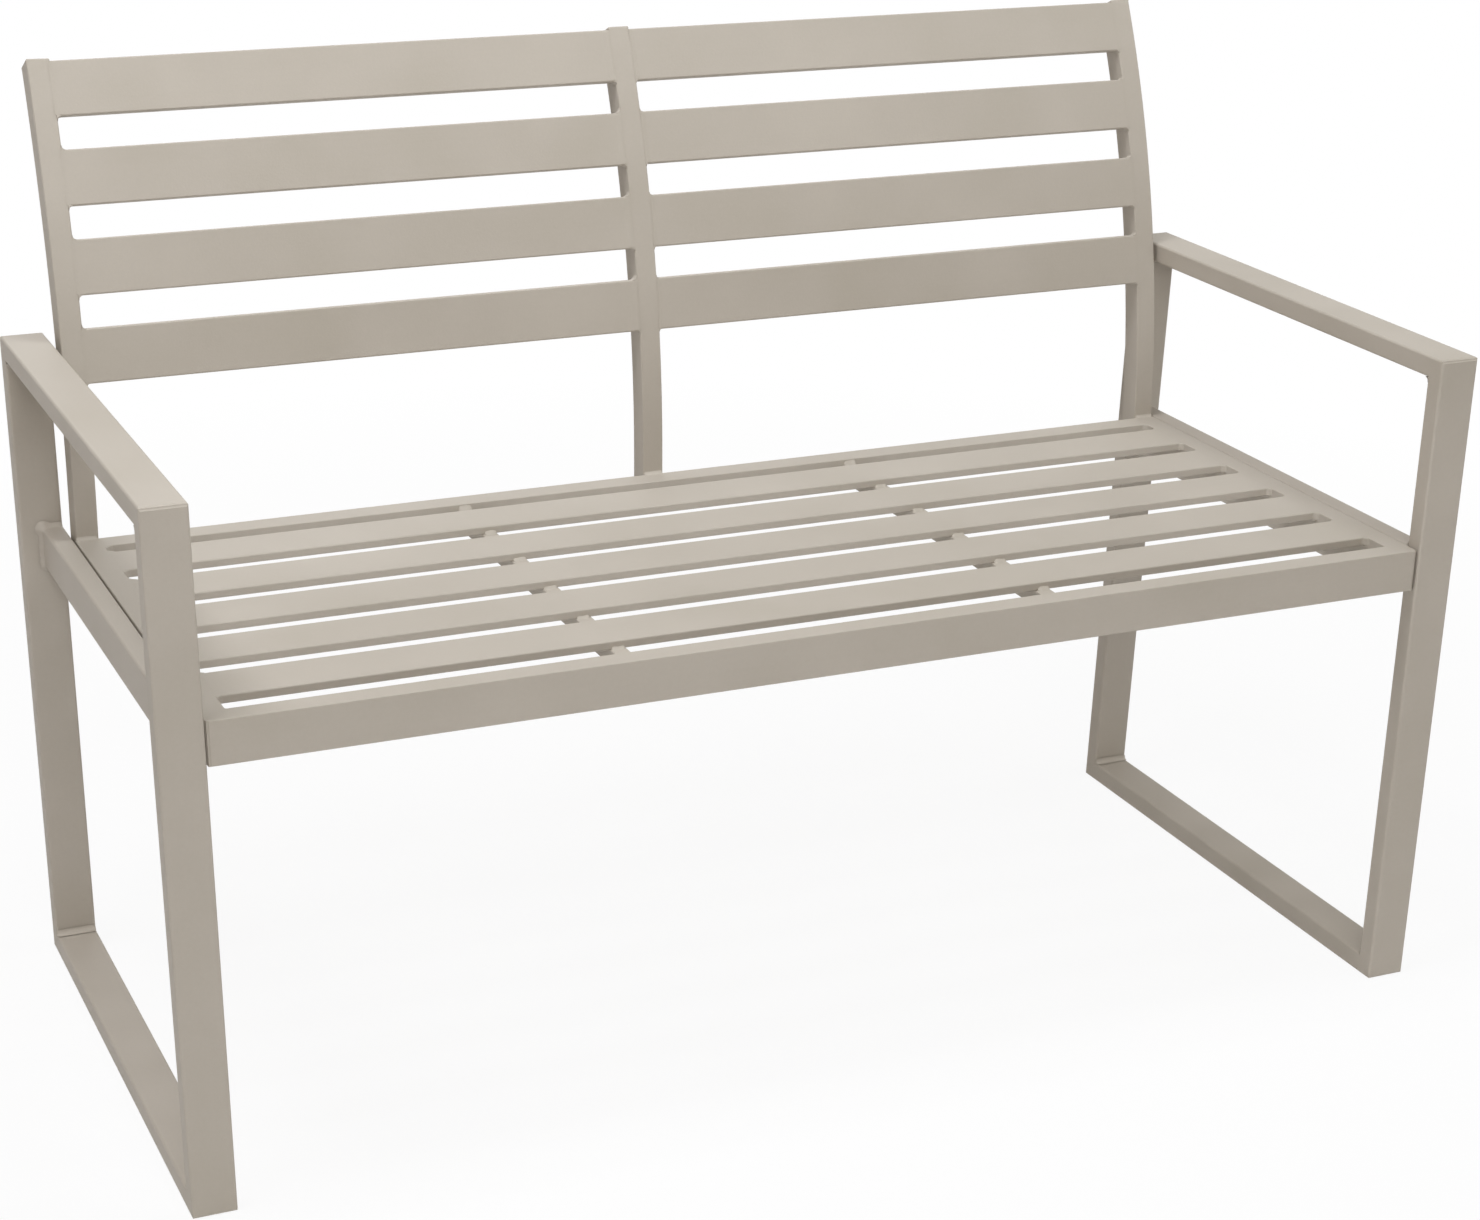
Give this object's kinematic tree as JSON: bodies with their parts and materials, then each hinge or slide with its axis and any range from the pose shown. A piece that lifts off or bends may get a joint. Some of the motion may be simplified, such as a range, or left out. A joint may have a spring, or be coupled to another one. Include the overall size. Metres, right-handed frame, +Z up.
{
  "type": "garden bench",
  "caption": "Fixed two-seat garden bench of powder-coated rectangular tube: two closed side frames with armrests, a slatted seat and a slatted, backward-curving backrest.",
  "frame": {"origin": "on the floor, in the middle of the bench's overall length and depth", "axes": "+X along the bench, to the right as it is seen from the front, +Y from its front to its back, +Z up"},
  "size_m": [1.25, 0.6024, 0.8793],
  "materials": {
    "powder_coated_aluminium": "satin powder coat in a warm taupe grey over welded aluminium tube",
    "fastener_steel": "plain stainless steel",
    "rivet_steel": "dull dark zinc-plated steel"
  },
  "bodies": {
    "root": {"back_centre_stile": "powder_coated_aluminium", "back_left_slat_1": "powder_coated_aluminium", "back_left_slat_2": "powder_coated_aluminium", "back_left_slat_3": "powder_coated_aluminium", "back_left_slat_4": "powder_coated_aluminium", "back_left_stile": "powder_coated_aluminium", "back_right_slat_1": "powder_coated_aluminium", "back_right_slat_2": "powder_coated_aluminium", "back_right_slat_3": "powder_coated_aluminium", "back_right_slat_4": "powder_coated_aluminium", "back_right_stile": "powder_coated_aluminium", "centre_stile_cap": "powder_coated_aluminium", "left_armrest": "powder_coated_aluminium", "left_floor_runner": "powder_coated_aluminium", "left_front_leg": "powder_coated_aluminium", "left_rear_leg": "powder_coated_aluminium", "left_side_stretcher": "powder_coated_aluminium", "left_slat_bearer": "powder_coated_aluminium", "left_stile_cap": "powder_coated_aluminium", "right_armrest": "powder_coated_aluminium", "right_floor_runner": "powder_coated_aluminium", "right_front_leg": "powder_coated_aluminium", "right_rear_leg": "powder_coated_aluminium", "right_side_stretcher": "powder_coated_aluminium", "right_slat_bearer": "powder_coated_aluminium", "right_stile_cap": "powder_coated_aluminium", "seat_front_rail": "powder_coated_aluminium", "seat_left_rail": "powder_coated_aluminium", "seat_rear_rail": "powder_coated_aluminium", "seat_right_rail": "powder_coated_aluminium", "seat_slat_1": "powder_coated_aluminium", "seat_slat_2": "powder_coated_aluminium", "seat_slat_3": "powder_coated_aluminium", "seat_slat_4": "powder_coated_aluminium", "seat_slat_5": "powder_coated_aluminium", "side_bolts": "fastener_steel", "side_rivet_nuts": "rivet_steel"}
  },
  "joints": []
}
